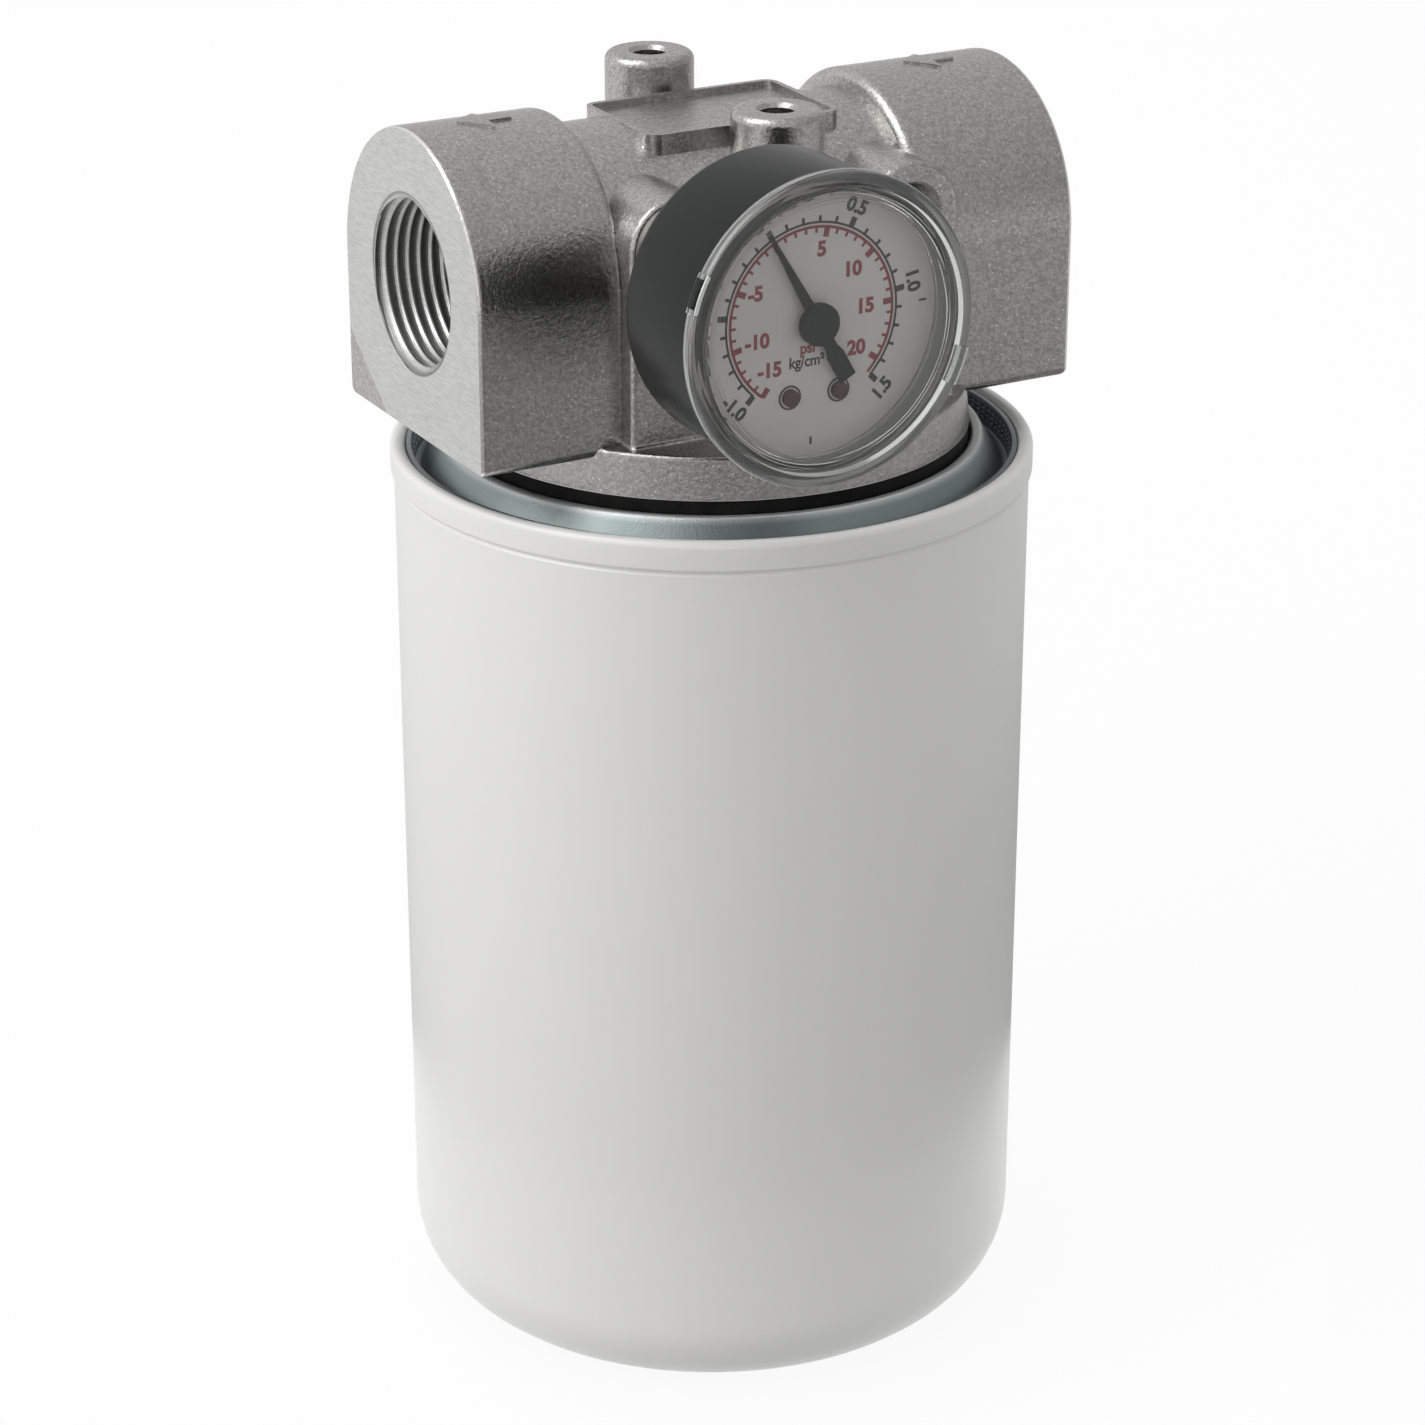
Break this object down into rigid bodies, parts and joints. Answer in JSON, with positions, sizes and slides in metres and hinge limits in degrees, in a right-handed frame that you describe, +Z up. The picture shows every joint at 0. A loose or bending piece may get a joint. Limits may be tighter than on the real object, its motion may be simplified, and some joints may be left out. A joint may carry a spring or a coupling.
{
  "type": "spin-on suction filter",
  "caption": "Spin-on suction filter: die-cast head with opposed threaded side ports and a vacuum gauge, above a white sheet-steel can with a round-edged base.",
  "frame": {"origin": "centre of the flat base of the can", "axes": "+Z up from the base through the can and head, +X through the inlet port, -Y towards the gauge"},
  "size_m": [0.097, 0.1163, 0.1992],
  "materials": {
    "cast_aluminium": "die-cast, rough as cast, machined port faces",
    "zinc_steel": "zinc plated",
    "valve_steel": "bright",
    "valve_brass": "turned",
    "spring_steel": "drawn wire",
    "white_paint": "gloss white enamel",
    "black_rubber": "moulded nitrile",
    "cap_steel": "tinned sheet",
    "filter_paper": "resin treated pleated paper",
    "gauge_brass": "turned and stamped",
    "copper_washer": "flat sealing washer",
    "black_paint": "satin black enamel",
    "clear_plastic": "clear push-on cover",
    "dial_white": "matt white with red and black print",
    "pointer_black": "matt black"
  },
  "bodies": {
    "head": {"filter_head": "cast_aluminium", "threaded_nipple": "zinc_steel", "bypass_cage": "valve_steel", "bypass_spring": "spring_steel", "gauge_socket": "gauge_brass", "gauge_washer": "copper_washer", "gauge_case": "black_paint", "gauge_lens": "clear_plastic", "dial_plate": "dial_white", "dial_screws": "gauge_brass", "dial_posts": "gauge_brass", "movement_pillars": "gauge_brass", "movement_back_plate": "gauge_brass", "movement_front_plate": "gauge_brass", "bourdon_tube": "gauge_brass", "tube_tip": "gauge_brass"},
    "gasket": {"sealing_gasket": "black_rubber"},
    "can": {"can_shell": "white_paint", "gasket_retainer": "zinc_steel", "tapping_plate": "zinc_steel", "element_top_cap": "cap_steel", "element_bottom_cap": "cap_steel", "centre_tube": "cap_steel", "pleated_media": "filter_paper", "element_seal": "black_rubber", "support_spring": "spring_steel"},
    "poppet": {"bypass_poppet": "valve_brass"},
    "sector": {"sector_gear": "gauge_brass", "sector_arbor": "valve_steel"},
    "pointer": {"pinion_shaft": "gauge_brass", "pointer": "pointer_black"},
    "link": {"connecting_link": "gauge_brass"}
  },
  "joints": [
    {"name": "can_lift", "type": "slide", "parent": "head", "child": "gasket", "axis": [0, 0, -1], "range_m": [0, 0.0109]},
    {"name": "can_turn", "type": "hinge", "parent": "gasket", "child": "can", "pos_m": [0, 0, 0.1378], "axis": [0, 0, -1], "range_deg": [0, 2160]},
    {"name": "bypass_slide", "type": "slide", "parent": "head", "child": "poppet", "axis": [0, 0, -1], "range_m": [0, 0.005], "stiffness_N_per_m": 700, "springref_m": -0.0047, "deforming": ["bypass_spring"]},
    {"name": "sector_swing", "type": "hinge", "parent": "head", "child": "sector", "pos_m": [-0.02807, -0.0569, 0.18412], "axis": [0, -1, 0], "range_deg": [-18, 27], "stiffness_Nm_per_rad": 0.02},
    {"name": "pointer_turn", "type": "hinge", "parent": "head", "child": "pointer", "pos_m": [-0.0189, -0.058, 0.1777], "axis": [0, -1, 0], "range_deg": [-162, 108]},
    {"name": "link_swing", "type": "hinge", "parent": "sector", "child": "link", "pos_m": [-0.03066, -0.0574, 0.18044], "axis": [0, -1, 0], "range_deg": [-27, 18]}
  ],
  "couplings": [
    {"joint": "can_lift", "follows": "can_turn", "m_per_rad": 0.00028871},
    {"joint": "pointer_turn", "follows": "sector_swing", "ratio": -6},
    {"joint": "link_swing", "follows": "sector_swing", "ratio": -1}
  ]
}
